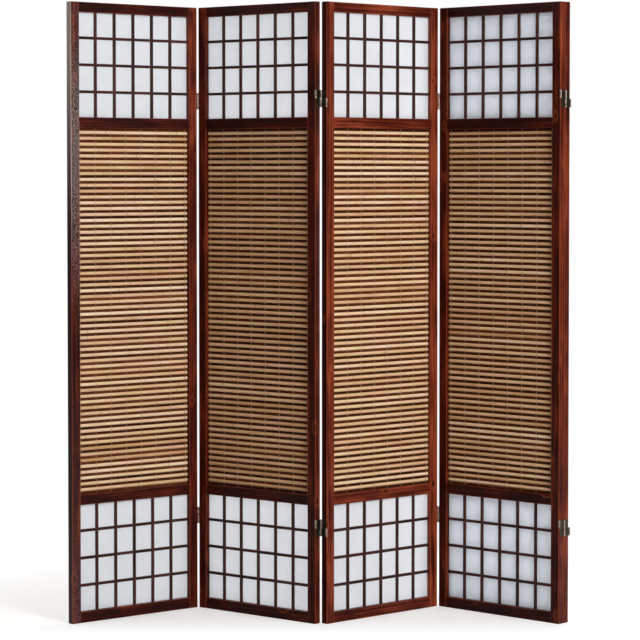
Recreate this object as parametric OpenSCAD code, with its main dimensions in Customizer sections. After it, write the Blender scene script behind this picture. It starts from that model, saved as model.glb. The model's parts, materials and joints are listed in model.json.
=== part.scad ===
// Folding screen of five wooden panels, each with a papered lattice above and below a field of
// bamboo slats. Every panel stands on its own lower edge and turns on two-way hinges.
// Units are millimetres. +Z is up, and the side that faces a viewer is towards -Y.

/* [Panel] */
// Height of the screen
screen_h = 1790; // [1500:1:2000]
// Width of one panel
panel_w = 450; // [360:1:520]
// Thickness of the stiles
panel_t = 22; // [18:0.5:30]
// Width of a stile
stile_w = 29; // [25:0.5:45]
// How far the rails stand back from the stiles, front and back
rail_setback = 0.4; // [0:0.1:2]
// Bevel on the long edges of stiles and rails
edge_bevel = 1; // [0.4:0.1:2]

/* [Rails] */
// Height of the top rail
top_rail_h = 29; // [22:0.5:60]
// Height of the rail under the upper lattice
upper_mid_rail_h = 31; // [22:0.5:60]
// Height of the rail over the lower lattice
lower_mid_rail_h = 30; // [22:0.5:60]
// Height of the bottom rail
bottom_rail_h = 32; // [22:0.5:60]
// Length of the tenon at each end of a rail
tenon_len = 14; // [8:0.5:14]
// Thickness of the tenons
tenon_t = 7; // [5:0.5:10]
// Wood left above and below a tenon
tenon_shoulder = 6; // [5:0.5:8]
// Clearance round a tenon in its mortise
tenon_fit = 0.1; // [0.05:0.05:0.3]

/* [Lattice] */
// Height of the opening for the upper lattice
upper_lattice_h = 301; // [200:1:400]
// Height of the opening for the lower lattice
lower_lattice_h = 310; // [200:1:400]
// Windows side by side
lattice_columns = 6; // [3:1:8]
// Windows above one another
lattice_rows = 4; // [2:1:6]
// Width of a lattice bar
bar_w = 8; // [4:0.5:10]
// Depth of a lattice bar
bar_d = 6; // [5:0.5:7]
// Depth of the lattice behind the front of the frame
lattice_inset = 7.2; // [1:0.1:7.4]
// Clearance in the half-lap joints of the bars
lap_fit = 0.1; // [0.05:0.05:0.3]
// Thickness of the paper
paper_t = 0.4; // [0.3:0.1:0.8]
// How far the paper runs into the groove round it
paper_lap = 3; // [2:0.5:4]
// Clearance of the paper in its groove, on each face and at its edge
paper_fit = 0.2; // [0.1:0.05:0.4]

/* [Bamboo] */
// Height of a light slat
light_h = 9; // [6:0.1:14]
// Thickness of a light slat
light_t = 3.2; // [2.5:0.1:4]
// Height of a dark slat
dark_h = 7.7; // [4:0.1:12]
// Thickness of a dark slat
dark_t = 2.6; // [2:0.1:4]
// Bevel on the front edges of the slats
slat_bevel = 0.7; // [0.3:0.1:1.2]
// Least gap between two slats
slat_gap_min = 0.1; // [0.1:0.05:1]
// Depth of the slats behind the front of the frame
slat_inset = 10.5; // [4:0.1:12]
// How far the slats run into the groove of each stile
slat_lap = 5; // [3:0.5:10]
// Clearance of the slats in that groove, on each face and at the end
slat_fit = 0.2; // [0.1:0.05:0.5]
// Warp lines that bind the slats
warp_lines = 8; // [3:1:12]
// Distance from a stile to the nearest warp line
warp_margin = 8.5; // [5:0.5:40]
// Thickness of a warp cord
warp_d = 1; // [0.6:0.1:1.2]
// Clearance between a warp cord and what it lies against
warp_fit = 0.05; // [0.02:0.01:0.2]

/* [Hinges] */
// Gap between the edges of two panels that stand in line
panel_gap = 5; // [4.8:0.1:12]
// Gap between the faces of two panels that are folded together
fold_gap = 1.6; // [1.2:0.1:4]
// Height of a hinge
hinge_h = 48; // [40:1:80]
// Distance from the end of a panel to the middle of the nearest hinge
hinge_inset = 277; // [100:1:300]
// Thickness of the leaf that is screwed to a stile
leaf_t = 1.2; // [1:0.1:1.3]
// Thickness of the link between the front and the back barrels
link_t = 1.2; // [1:0.1:1.5]
// How far a leaf stops short of the face where it has no barrel
leaf_relief = 3.2; // [3:0.1:5]
// Clearance between a barrel and the bevelled edges of the stiles beside it
barrel_clear = 0.4; // [0.3:0.1:0.8]
// Clearance between two knuckles, and round them
knuckle_gap = 0.3; // [0.2:0.05:0.6]
// Diameter of a hinge pin
pin_d = 2.2; // [1.6:0.1:2.6]
// Radial clearance of a pin in its knuckles
pin_fit = 0.05; // [0.01:0.01:0.1]
// Diameter of a pin's head
pin_head_d = 4.4; // [3.5:0.1:5]
// Height of a pin's head
pin_head_h = 0.6; // [0.4:0.1:1.5]
// Diameter of a screw's head
screw_head_d = 5.2; // [4:0.1:7]
// Diameter of a screw's shank
screw_d = 2.5; // [2:0.1:3]
// Length of a screw
screw_len = 12; // [8:0.5:13]
// Distance between the screws of a leaf
screw_pitch = 17; // [10:0.5:20]
// Clearance round a screw
screw_fit = 0.05; // [0.02:0.01:0.2]

/* [Stance] */
// Direction of the first panel, seen from above
first_heading = 39.7; // [0:0.1:90]
// Fold between panels one and two: 0 is in line, 180 is shut
fold_1 = 79.2; // [0:0.1:180]
// Fold between panels two and three
fold_2 = 81.9; // [0:0.1:176.5]
// Fold between panels three and four
fold_3 = 85.2; // [0:0.1:176.5]
// Fold between panels four and five
fold_4 = 180; // [0:0.1:180]

/* [Hidden] */
$fn = 32;
eps = 0.01;
folds = [fold_1, fold_2, fold_3, fold_4];
panel_count = len(folds) + 1;

// Heights of the openings and the rails, from the floor up
lower_lattice_z = bottom_rail_h;
lower_mid_rail_z = lower_lattice_z + lower_lattice_h;
field_z = lower_mid_rail_z + lower_mid_rail_h;
top_rail_z = screen_h - top_rail_h;
upper_lattice_z = top_rail_z - upper_lattice_h;
upper_mid_rail_z = upper_lattice_z - upper_mid_rail_h;
field_h = upper_mid_rail_z - field_z;
opening_w = panel_w - 2 * stile_w;

// Rails as [height above the floor, height, groove below, groove above]
rails = [
    [0, bottom_rail_h, false, true],
    [lower_mid_rail_z, lower_mid_rail_h, true, false],
    [upper_mid_rail_z, upper_mid_rail_h, false, true],
    [top_rail_z, top_rail_h, true, false]
];
// Lattices as [height above the floor, height]
lattices = [[lower_lattice_z, lower_lattice_h], [upper_lattice_z, upper_lattice_h]];

paper_y = lattice_inset + bar_d;
slat_middle_y = slat_inset + light_t / 2;
slat_groove_t = max(light_t, dark_t) + 2 * slat_fit;
slat_len = opening_w + 2 * slat_lap;

// The field holds as many pairs of slats as fit, with one more dark slat, and the gaps share the rest
slat_pairs = floor((field_h - dark_h - 2 * slat_gap_min) / (light_h + dark_h + 2 * slat_gap_min));
slat_gap = (field_h - slat_pairs * light_h - (slat_pairs + 1) * dark_h) / (2 * slat_pairs + 2);
slat_pitch = light_h + dark_h + 2 * slat_gap;

// Hinge, drawn round the middle of the gap at half the panel's thickness
axis_y = (panel_t + fold_gap) / 2;
barrel_d = 2 * (norm([panel_gap / 2, fold_gap / 2 + edge_bevel]) - barrel_clear);
half_hinge = hinge_h / 2;
knuckle_h = (half_hinge - 3 * knuckle_gap) / 3;
plate_start = axis_y - barrel_d / 2 - knuckle_gap;
hinge_heights = [hinge_inset, screen_h - hinge_inset];
screw_heights = [-screw_pitch, 0, screw_pitch];
// Depth of the countersink, which leaves a lip under the head
countersink = 0.8 * leaf_t;

SUB_PARTS = [
    "left_stile", "right_stile", "rails", "lattice", "paper", "light_slats", "dark_slats",
    "warp_cords", "hinge_leaves", "hinge_links", "hinge_pins", "screws"
];
NODES = [for (k = [1 : panel_count]) for (part = SUB_PARTS) str("panel_", k, "_", part)];
node = "all";

// Odd joints fold the fronts together, on the front line of the hinge, and even ones the backs
function folds_forward(j) = j % 2 == 1;
function axis_depth(j) = folds_forward(j) ? -fold_gap / 2 : panel_t + fold_gap / 2;
function heading(k) = k == 1 ? first_heading
    : heading(k - 1) + (folds_forward(k - 1) ? -folds[k - 2] : folds[k - 2]);
function turn(p, a) = [p.x * cos(a) - p.y * sin(a), p.x * sin(a) + p.y * cos(a)];
// Front left corner of a panel, carried over the hinge line that it shares with the one before
function corner(k) = k == 1 ? [0, 0]
    : corner(k - 1) + turn([panel_w + panel_gap / 2, axis_depth(k - 1)], heading(k - 1))
        - turn([-panel_gap / 2, axis_depth(k - 1)], heading(k));

// The plan is centred on the box round all the panels
plan = [
    for (k = [1 : panel_count])
        for (p = [[0, 0], [panel_w, 0], [panel_w, panel_t], [0, panel_t]])
            corner(k) + turn(p, heading(k))
];
plan_x = [for (p = plan) p.x];
plan_y = [for (p = plan) p.y];
middle = [(min(plan_x) + max(plan_x)) / 2, (min(plan_y) + max(plan_y)) / 2];

module place(k)
    translate([corner(k).x - middle.x, corner(k).y - middle.y, 0])
        rotate(heading(k))
            children();

// Mirrors a piece to the other edge of the panel
module other_edge()
    translate([panel_w, 0, 0])
        mirror([1, 0, 0])
            children();

// Rectangle with its corners bevelled, from the origin to [w, h]
module bevelled(w, h, b)
    polygon([[b, 0], [w - b, 0], [w, b], [w, h - b], [w - b, h], [b, h], [0, h - b], [0, b]]);

// Bar along X with bevelled long edges, of depth d and height h
module bar_along_x(length, d, h, b)
    rotate([90, 0, 90])
        linear_extrude(length)
            bevelled(d, h, b);

module mortises()
    for (r = rails)
        translate([stile_w - tenon_len - tenon_fit, (panel_t - tenon_t) / 2 - tenon_fit,
            r[0] + tenon_shoulder - tenon_fit])
            cube([tenon_len + tenon_fit + eps, tenon_t + 2 * tenon_fit,
                r[1] - 2 * tenon_shoulder + 2 * tenon_fit]);

module paper_grooves()
    for (l = lattices)
        translate([stile_w - paper_lap - paper_fit, paper_y - paper_fit, l[0] - paper_lap - paper_fit])
            cube([paper_lap + paper_fit + eps, paper_t + 2 * paper_fit,
                l[1] + 2 * paper_lap + 2 * paper_fit]);

module slat_groove()
    translate([stile_w - slat_lap - slat_fit, slat_middle_y - slat_groove_t / 2, field_z])
        cube([slat_lap + slat_fit + eps, slat_groove_t, field_h]);

// Holes in the outer edge of a stile for the screws of both hinges
module pilot_holes()
    for (z = hinge_heights)
        for (s = screw_heights)
            translate([-eps, panel_t / 2, z + s])
                rotate([0, 90, 0])
                    cylinder(d = screw_d + 2 * screw_fit, h = screw_len - leaf_t + screw_fit + eps);

// Stile with its outer edge on X = 0
module stile(hinged)
    color([0.36, 0.11, 0.06])
        difference() {
            linear_extrude(screen_h)
                bevelled(stile_w, panel_t, edge_bevel);
            mortises();
            paper_grooves();
            slat_groove();
            if (hinged)
                pilot_holes();
        }

module left_stile(k)
    stile(k > 1);

module right_stile(k)
    other_edge()
        stile(k < panel_count);

// Groove for the paper along the edge of a rail, cut from z up
module rail_groove(z)
    translate([stile_w - eps, paper_y - paper_fit, z])
        cube([opening_w + 2 * eps, paper_t + 2 * paper_fit, paper_lap + paper_fit + eps]);

module rail(z, h, groove_below, groove_above)
    translate([0, 0, z])
        difference() {
            union() {
                translate([stile_w, rail_setback, 0])
                    bar_along_x(opening_w, panel_t - 2 * rail_setback, h, edge_bevel);
                translate([stile_w - tenon_len, (panel_t - tenon_t) / 2, tenon_shoulder])
                    cube([opening_w + 2 * tenon_len, tenon_t, h - 2 * tenon_shoulder]);
            }
            if (groove_below)
                rail_groove(-eps);
            if (groove_above)
                rail_groove(h - paper_lap - paper_fit);
        }

module panel_rails()
    color([0.30, 0.09, 0.05])
        for (r = rails)
            rail(r[0], r[1], r[2], r[3]);

// Place of bar i of n that part an opening into equal windows
function bar_place(i, n, opening) = i * (opening - (n - 1) * bar_w) / n + (i - 1) * bar_w;

// Upright bar, notched at the back where the crossbars pass
module upright(h)
    difference() {
        cube([bar_w, bar_d, h]);
        for (i = [1 : lattice_rows - 1])
            translate([-eps, bar_d / 2 - lap_fit / 2, bar_place(i, lattice_rows, h) - lap_fit])
                cube([bar_w + 2 * eps, bar_d / 2 + lap_fit, bar_w + 2 * lap_fit]);
    }

// Crossbar, notched at the front where the uprights pass
module crossbar()
    difference() {
        cube([opening_w, bar_d, bar_w]);
        for (i = [1 : lattice_columns - 1])
            translate([bar_place(i, lattice_columns, opening_w) - lap_fit, -eps, -eps])
                cube([bar_w + 2 * lap_fit, bar_d / 2 + lap_fit / 2 + eps, bar_w + 2 * eps]);
    }

module lattice()
    color([0.20, 0.07, 0.05])
        for (l = lattices)
            translate([stile_w, lattice_inset, l[0]]) {
                for (i = [1 : lattice_columns - 1])
                    translate([bar_place(i, lattice_columns, opening_w), 0, 0])
                        upright(l[1]);
                for (i = [1 : lattice_rows - 1])
                    translate([0, 0, bar_place(i, lattice_rows, l[1])])
                        crossbar();
            }

module paper()
    color([0.90, 0.91, 0.92])
        for (l = lattices)
            translate([stile_w - paper_lap, paper_y, l[0] - paper_lap])
                cube([opening_w + 2 * paper_lap, paper_t, l[1] + 2 * paper_lap]);

// Slat with its front edges bevelled, its middle at the depth of the groove's middle
module slat(t, h)
    translate([stile_w - slat_lap, slat_middle_y - t / 2, 0])
        rotate([90, 0, 90])
            linear_extrude(slat_len)
                polygon([[slat_bevel, 0], [t, 0], [t, h], [slat_bevel, h], [0, h - slat_bevel],
                    [0, slat_bevel]]);

module light_slats()
    color([0.86, 0.72, 0.50])
        for (i = [0 : slat_pairs - 1])
            translate([0, 0, field_z + slat_gap + dark_h + slat_gap + i * slat_pitch])
                slat(light_t, light_h);

module dark_slats()
    color([0.30, 0.16, 0.09])
        for (i = [0 : slat_pairs])
            translate([0, 0, field_z + slat_gap + i * slat_pitch])
                slat(dark_t, dark_h);

// Each warp line is a pair of cords, one along the front of the slats and one along the back
module warp_cords()
    color([0.85, 0.80, 0.70])
        for (i = [0 : warp_lines - 1])
            for (side = [-1, 1])
                translate([
                    stile_w + warp_margin + i * (opening_w - 2 * warp_margin) / (warp_lines - 1),
                    slat_middle_y + side * (max(light_t, dark_t) + warp_d + 2 * warp_fit) / 2,
                    field_z + warp_fit
                ])
                    cylinder(d = warp_d, h = field_h - 2 * warp_fit, $fn = 16);

// Height at which knuckle i of a half hinge begins
function knuckle_z(i) = knuckle_gap + i * (knuckle_h + knuckle_gap);

module knuckle(i, y)
    translate([0, y, knuckle_z(i)])
        cylinder(d = barrel_d, h = knuckle_h);

module pin_bore(y)
    translate([0, y, -eps])
        cylinder(d = pin_d + 2 * pin_fit, h = half_hinge + 2 * eps);

// Upper half of the left leaf: a plate on the stile's edge, with the outer two knuckles in front
module half_leaf()
    difference() {
        union() {
            translate([-panel_gap / 2, -plate_start, 0])
                cube([leaf_t, plate_start + panel_t / 2 - leaf_relief, half_hinge]);
            for (i = [0, 2]) {
                translate([-panel_gap / 2, -axis_y, knuckle_z(i)])
                    cube([leaf_t, barrel_d / 2 + knuckle_gap + eps, knuckle_h]);
                translate([-panel_gap / 2, -axis_y, knuckle_z(i)])
                    cube([panel_gap / 2 - pin_d / 2, barrel_d / 2 - knuckle_gap, knuckle_h]);
                knuckle(i, -axis_y);
            }
        }
        pin_bore(-axis_y);
    }

// Hole in a leaf for one screw, from the leaf's outer face inwards
module screw_hole()
    rotate([0, -90, 0]) {
        cylinder(d = screw_d + 2 * screw_fit, h = leaf_t + eps);
        translate([0, 0, -eps])
            cylinder(d1 = screw_head_d + 2 * screw_fit + 2 * eps, d2 = screw_d + 2 * screw_fit,
                h = countersink + eps);
    }

// Left leaf of a hinge. The right one is the same leaf turned half round
module leaf()
    difference() {
        union() {
            half_leaf();
            rotate([180, 0, 0])
                half_leaf();
        }
        for (s = screw_heights)
            translate([leaf_t - panel_gap / 2, 0, s])
                screw_hole();
    }

module screw()
    rotate([0, -90, 0]) {
        cylinder(d1 = screw_head_d, d2 = screw_d, h = countersink);
        cylinder(d = screw_d, h = screw_len);
    }

// Upper link: a strap in the middle of the gap, with one knuckle in each barrel
module link()
    difference() {
        union() {
            translate([-link_t / 2, -plate_start, knuckle_gap])
                cube([link_t, 2 * plate_start, half_hinge - knuckle_gap]);
            translate([-link_t / 2, -axis_y, knuckle_z(1)])
                cube([link_t, 2 * axis_y, knuckle_h]);
            knuckle(1, -axis_y);
            knuckle(1, axis_y);
        }
        pin_bore(-axis_y);
        pin_bore(axis_y);
    }

module pin() {
    translate([0, -axis_y, knuckle_gap])
        cylinder(d = pin_d, h = half_hinge - knuckle_gap);
    translate([0, -axis_y, half_hinge])
        cylinder(d = pin_head_d, h = pin_head_h);
}

// Puts a hinge piece at both heights of one edge of a panel
module at_hinges(x)
    for (z = hinge_heights)
        translate([x, panel_t / 2, z])
            children();

module at_left_hinges(k)
    if (k > 1)
        at_hinges(-panel_gap / 2)
            children();

module at_right_hinges(k)
    if (k < panel_count)
        at_hinges(panel_w + panel_gap / 2)
            children();

module hinge_leaves(k)
    color([0.22, 0.20, 0.18]) {
        at_right_hinges(k)
            leaf();
        at_left_hinges(k)
            rotate(180)
                leaf();
    }

// When the fronts fold together the lower link stays with the left panel and the upper one goes
// with the right, and the other way round when the backs do
module hinge_links(k)
    color([0.26, 0.24, 0.21]) {
        at_right_hinges(k)
            rotate([folds_forward(k) ? 180 : 0, 0, 0])
                link();
        at_left_hinges(k)
            rotate([folds_forward(k - 1) ? 0 : 180, 0, 0])
                link();
    }

// The pins of a leaf's front and back barrels
module leaf_pins() {
    pin();
    rotate([180, 0, 0])
        pin();
}

module hinge_pins(k)
    color([0.45, 0.42, 0.38]) {
        at_right_hinges(k)
            leaf_pins();
        at_left_hinges(k)
            rotate(180)
                leaf_pins();
    }

module leaf_screws()
    for (s = screw_heights)
        translate([leaf_t - panel_gap / 2, 0, s])
            screw();

module screws(k)
    color([0.50, 0.47, 0.42]) {
        at_right_hinges(k)
            leaf_screws();
        at_left_hinges(k)
            rotate(180)
                leaf_screws();
    }

function drawn(k, part) = node == "all" || node == str("panel_", k, "_", part);

for (k = [1 : panel_count])
    place(k) {
        if (drawn(k, "left_stile")) left_stile(k);
        if (drawn(k, "right_stile")) right_stile(k);
        if (drawn(k, "rails")) panel_rails();
        if (drawn(k, "lattice")) lattice();
        if (drawn(k, "paper")) paper();
        if (drawn(k, "light_slats")) light_slats();
        if (drawn(k, "dark_slats")) dark_slats();
        if (drawn(k, "warp_cords")) warp_cords();
        if (drawn(k, "hinge_leaves")) hinge_leaves(k);
        if (drawn(k, "hinge_links")) hinge_links(k);
        if (drawn(k, "hinge_pins")) hinge_pins(k);
        if (drawn(k, "screws")) screws(k);
    }
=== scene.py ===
# %% [markdown]
# # A folding screen of stained wood, paper and bamboo
#
# Five narrow panels stand in a zigzag, and the last one is folded flat behind the fourth. Each panel
# is a frame of two stiles and four rails. It holds a lattice with paper behind it above and below,
# and a field of bamboo slats bound with thread between them. The measured model of the joinery and
# the hinges is loaded first. It never changes here: everything below is drawn round it.

# %% Load the measured model
import json
import math

import bpy
import numpy as np
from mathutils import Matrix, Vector

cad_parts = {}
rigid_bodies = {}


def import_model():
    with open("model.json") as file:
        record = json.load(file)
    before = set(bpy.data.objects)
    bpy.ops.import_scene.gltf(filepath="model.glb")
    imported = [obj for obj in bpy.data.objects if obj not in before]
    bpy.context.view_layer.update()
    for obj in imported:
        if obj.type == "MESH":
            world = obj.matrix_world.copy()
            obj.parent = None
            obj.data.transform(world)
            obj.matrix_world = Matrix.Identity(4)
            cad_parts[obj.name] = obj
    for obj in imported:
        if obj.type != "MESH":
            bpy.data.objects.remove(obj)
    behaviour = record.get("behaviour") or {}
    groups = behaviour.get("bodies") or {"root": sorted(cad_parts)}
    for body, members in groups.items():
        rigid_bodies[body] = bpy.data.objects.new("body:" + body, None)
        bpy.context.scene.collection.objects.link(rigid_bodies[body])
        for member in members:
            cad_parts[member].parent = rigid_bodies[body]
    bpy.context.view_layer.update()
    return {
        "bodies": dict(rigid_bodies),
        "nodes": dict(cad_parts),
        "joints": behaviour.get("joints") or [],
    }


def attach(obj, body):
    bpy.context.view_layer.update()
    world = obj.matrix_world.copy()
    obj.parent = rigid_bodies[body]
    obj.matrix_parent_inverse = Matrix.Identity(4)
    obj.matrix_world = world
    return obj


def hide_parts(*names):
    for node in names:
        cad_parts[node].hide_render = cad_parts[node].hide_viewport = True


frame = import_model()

joints = {joint["name"]: joint for joint in frame["joints"]}
panels = sorted(frame["bodies"])

# %% [markdown]
# ## Each panel's own axes
#
# The panels stand at different angles, but they are all alike. So each piece is worked out once in a
# panel's own axes (x from its left edge to its right one, y from its front to its back, z up) and is
# then turned into place. The axes come from the two stiles of each panel: the line between their
# middles runs along the panel.

# %% Find the axes of every panel
def corners(node):
    """The corners of a CAD node's triangles, as rows of x, y and z in metres."""
    mesh = frame["nodes"][node].data
    points = np.empty(len(mesh.vertices) * 3)
    mesh.vertices.foreach_get("co", points)
    return points.reshape(-1, 3)


def panel_axes(panel):
    """A panel's front lower left corner and its x and y directions, from its stiles.

    The middle of a box round a turned rectangle is the rectangle's own middle, so the line between
    the boxes' middles is the panel's x direction, and y is that direction turned a quarter left."""
    left, right = (corners(f"{panel}_{side}_stile") for side in ("left", "right"))
    middle = (left.min(0) + left.max(0)) / 2
    along = (right.min(0) + right.max(0)) / 2 - middle
    along /= np.linalg.norm(along)
    back = np.array([-along[1], along[0], 0.0])
    offset = (left - middle) @ np.stack([along, back], 1)
    return middle * [1, 1, 0] + along * offset[:, 0].min() + back * offset[:, 1].min(), along, back


axes = {panel: panel_axes(panel) for panel in panels}


def to_panel(panel, points):
    """Room coordinates as distances along the panel's own axes."""
    origin, along, back = axes[panel]
    return (points - origin) @ np.stack([along, back, [0, 0, 1]], 1)


def to_room(panel, points):
    """Distances along the panel's own axes as room coordinates."""
    origin, along, back = axes[panel]
    return origin + points @ np.stack([along, back, [0, 0, 1]])


for panel in panels:
    print(panel, "runs at", round(math.degrees(math.atan2(*axes[panel][1][1::-1])), 1), "degrees")

# %% [markdown]
# ## The sizes of a panel
#
# The panels are alike, so their sizes are read from the nodes of the first one. Only small sizes, such
# as the width of a lattice bar, are written out below. A node can hold many solids. Their stretches
# along one axis are found by sorting the triangles along it: wherever no triangle bridges a height,
# one solid ends and the next begins.

# %% Measure a panel
SEAM = 2e-5
first = panels[0]


def box_in(node):
    """The lowest and highest corners of the first panel's node along the panel's own axes."""
    points = to_panel(first, corners(f"{first}_{node}"))
    return points.min(0), points.max(0)


def depth_of(node):
    """Where a node begins and ends between the panel's front and its back."""
    return np.array([corner[1] for corner in box_in(node)])


def stretches(node, axis):
    """Where a node's solids begin and end along one of the panel's axes, as rows of two.

    A gap narrower than SEAM doesn't part two solids."""
    mesh = frame["nodes"][f"{first}_{node}"].data
    mesh.calc_loop_triangles()
    order = np.empty(len(mesh.loop_triangles) * 3, int)
    mesh.loop_triangles.foreach_get("vertices", order)
    reach = to_panel(first, corners(f"{first}_{node}"))[order, axis].reshape(-1, 3)
    low, high = reach.min(1), reach.max(1)
    rising = np.argsort(low)
    low, high = low[rising], np.maximum.accumulate(high[rising])
    starts = np.r_[True, low[1:] > high[:-1] + SEAM]
    return np.stack([low[starts], high[np.r_[starts[1:], True]]], 1)


stile = box_in("left_stile")[1]
panel_w = box_in("right_stile")[1][0]
opening = np.array([stile[0], panel_w - stile[0]])
lattice_depth, paper_depth, light_depth, dark_depth = (
    depth_of(node) for node in ("lattice", "paper", "light_slats", "dark_slats"))
light_heights, dark_heights = (stretches(f"{tone}_slats", 2) for tone in ("light", "dark"))
rail_heights = stretches("rails", 2)
cord_places = stretches("warp_cords", 0).mean(1)
windows = [rail_heights[[0, 1]].ravel()[[1, 2]], rail_heights[[2, 3]].ravel()[[1, 2]]]
print("panel", round(panel_w, 4), "wide, stile", np.round(stile, 4))
print("slats:", len(light_heights), "light and", len(dark_heights), "dark")

# %% [markdown]
# ## Surfaces from rings
#
# Almost every piece here is a bar: a ring of points carried along a straight line. The whole set of
# bars of a node is one array with four levels: bar, station along it, point of the ring, and x, y, z.
# Neighbouring rings are joined by quads, and the two ends are closed by caps, all with index
# arithmetic and without a loop over the points. Each point also takes a few values along with it,
# which the finishes read later: where it lies in the wood, how worn its edge is, and so on.

# %% Build a mesh from rings
def width(value_name):
    """The grain value is a place, with three numbers, and every other value is one number."""
    return (3,) if value_name == "grain" else ()


def bars(points, smooth=True, **values):
    """Faces and values for closed bars from points [bar, station, ring, xyz].

    The quad at station s and ring point r joins (s, r), (s, r + 1), (s + 1, r + 1) and (s + 1, r).
    That points outwards where the ring runs anticlockwise as seen from the end of the bar. The flat
    caps come before the smooth quads, because a shared point is shaded as its last face says."""
    count, stations, ring = points.shape[:3]
    index = np.arange(count * stations * ring).reshape(count, stations, ring)
    after = np.roll(index, -1, 2)
    quads = np.stack([index[:, :-1], after[:, :-1], after[:, 1:], index[:, 1:]], -1).reshape(-1, 4)
    caps = np.concatenate([index[:, 0, ::-1], index[:, -1]])
    spread = {
        name: np.broadcast_to(value, points.shape[:3] + width(name)).reshape((-1,) + width(name))
        for name, value in values.items()}
    return {"points": points.reshape(-1, 3), "faces": [(caps, False), (quads, smooth)], "values": spread}


def joined(parts):
    """Several sets of faces as one, with their point numbers carried on and missing values at zero."""
    names = sorted({name for part in parts for name in part["values"]})
    starts = np.cumsum([0] + [len(part["points"]) for part in parts])
    faces = [(f + start, smooth) for part, start in zip(parts, starts) for f, smooth in part["faces"]]
    values = {
        name: np.concatenate([
            part["values"].get(name, np.zeros((len(part["points"]),) + width(name))) for part in parts])
        for name in names}
    return {"points": np.concatenate([part["points"] for part in parts]), "faces": faces, "values": values}


def piece(name, body, surface, finish, slot, *replaced):
    """Makes an object from faces in a panel's axes, puts it in its place and ties it to the panel.

    Its points get the values as attributes. The slot is not used."""
    mesh = bpy.data.meshes.new(name)
    faces = surface["faces"]
    sizes = np.concatenate([np.full(len(f), f.shape[1]) for f, _ in faces])
    mesh.vertices.add(len(surface["points"]))
    mesh.vertices.foreach_set("co", to_room(body, surface["points"]).ravel())
    mesh.loops.add(sizes.sum())
    mesh.loops.foreach_set("vertex_index", np.concatenate([f.ravel() for f, _ in faces]))
    mesh.polygons.add(len(sizes))
    mesh.polygons.foreach_set("loop_start", np.concatenate([[0], np.cumsum(sizes)[:-1]]))
    mesh.polygons.foreach_set(
        "use_smooth", np.concatenate([np.full(len(f), smooth) for f, smooth in faces]))
    for key, value in surface["values"].items():
        kind, field = ("FLOAT_VECTOR", "vector") if width(key) else ("FLOAT", "value")
        mesh.attributes.new(key, kind, "POINT").data.foreach_set(
            field, np.ascontiguousarray(value, np.float32).ravel())
    mesh.materials.append(finish)
    mesh.update(calc_edges=True)
    mesh.validate()
    made = bpy.data.objects.new(name, mesh)
    bpy.context.scene.collection.objects.link(made)
    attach(made, body)
    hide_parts(*replaced)


# %% [markdown]
# ## Finishes
#
# Every finish is a small graph of shader nodes. The helpers below only save typing: most add one node
# and give back the output that the next node needs. Patterns are noise at real scales, because the
# places that the points carry are in metres, and each piece starts at a random place in the noise,
# so that no two are alike.

# %% Helpers for shader graphs
def connect(tree, node, inputs):
    """Gives a node's sockets, by name or number, a value or another node's output."""
    for name, value in inputs.items():
        if isinstance(value, bpy.types.NodeSocket):
            tree.links.new(value, node.inputs[name])
        else:
            node.inputs[name].default_value = value


def add(tree, kind, inputs=None, **settings):
    """Adds a node with its settings and its inputs."""
    made = tree.nodes.new(kind)
    for name, value in settings.items():
        setattr(made, name, value)
    connect(tree, made, inputs or {})
    return made


def math_node(tree, operation, *values, clamp=False):
    """The result of a Math node, for shorter lines below."""
    made = add(tree, "ShaderNodeMath", dict(enumerate(values)), operation=operation, use_clamp=clamp)
    return made.outputs[0]


def ramp(tree, value, *stops):
    """The colour that a ramp gives for a value, from (place, colour) stops."""
    made = add(tree, "ShaderNodeValToRGB", {0: value})
    elements = made.color_ramp.elements
    while len(elements) < len(stops):
        elements.new(0.5)
    for element, (place, colour) in zip(elements, stops):
        element.position = place
        element.color = (*colour, 1)
    return made.outputs[0]


def mixed(tree, share, first_colour, second_colour, blend="MIX"):
    """Two colours mixed by a share from 0 to 1, or blended in another way that Blender knows."""
    made = add(tree, "ShaderNodeMix", {0: share, 6: first_colour, 7: second_colour},
               data_type="RGBA", blend_type=blend)
    return made.outputs[2]


def stretched(tree, vector, *scale):
    """A vector with each of its parts multiplied by its own factor."""
    return add(tree, "ShaderNodeVectorMath", {0: vector, 1: scale}, operation="MULTIPLY").outputs[0]


def noise(tree, vector, scale, detail=3.0, roughness=0.55):
    """A smooth random value from 0 to 1 at each point."""
    made = add(tree, "ShaderNodeTexNoise", {
        "Vector": vector, "Scale": scale, "Detail": detail, "Roughness": roughness})
    return made.outputs[0]


def fade(tree, value, start, end, low=0.0):
    """low at start and 1 at end, with a smooth step between them."""
    return add(tree, "ShaderNodeMapRange", {0: value, 1: start, 2: end, 3: low},
               interpolation_type="SMOOTHSTEP").outputs[0]


def bumps(tree, height, strength, distance):
    """The tilted normal of a surface whose bumps are height times a distance in metres."""
    return add(tree, "ShaderNodeBump", {
        "Height": height, "Strength": strength, "Distance": distance}).outputs[0]


def value_of(tree, name, socket="Fac"):
    """One of the values that the points of a piece carry."""
    return add(tree, "ShaderNodeAttribute", attribute_name=name).outputs[socket]


def new_finish(name):
    """An empty material, with its graph and its Principled shader."""
    made = bpy.data.materials.new(name)
    made.use_nodes = True
    return made, made.node_tree, made.node_tree.nodes["Principled BSDF"]
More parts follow.
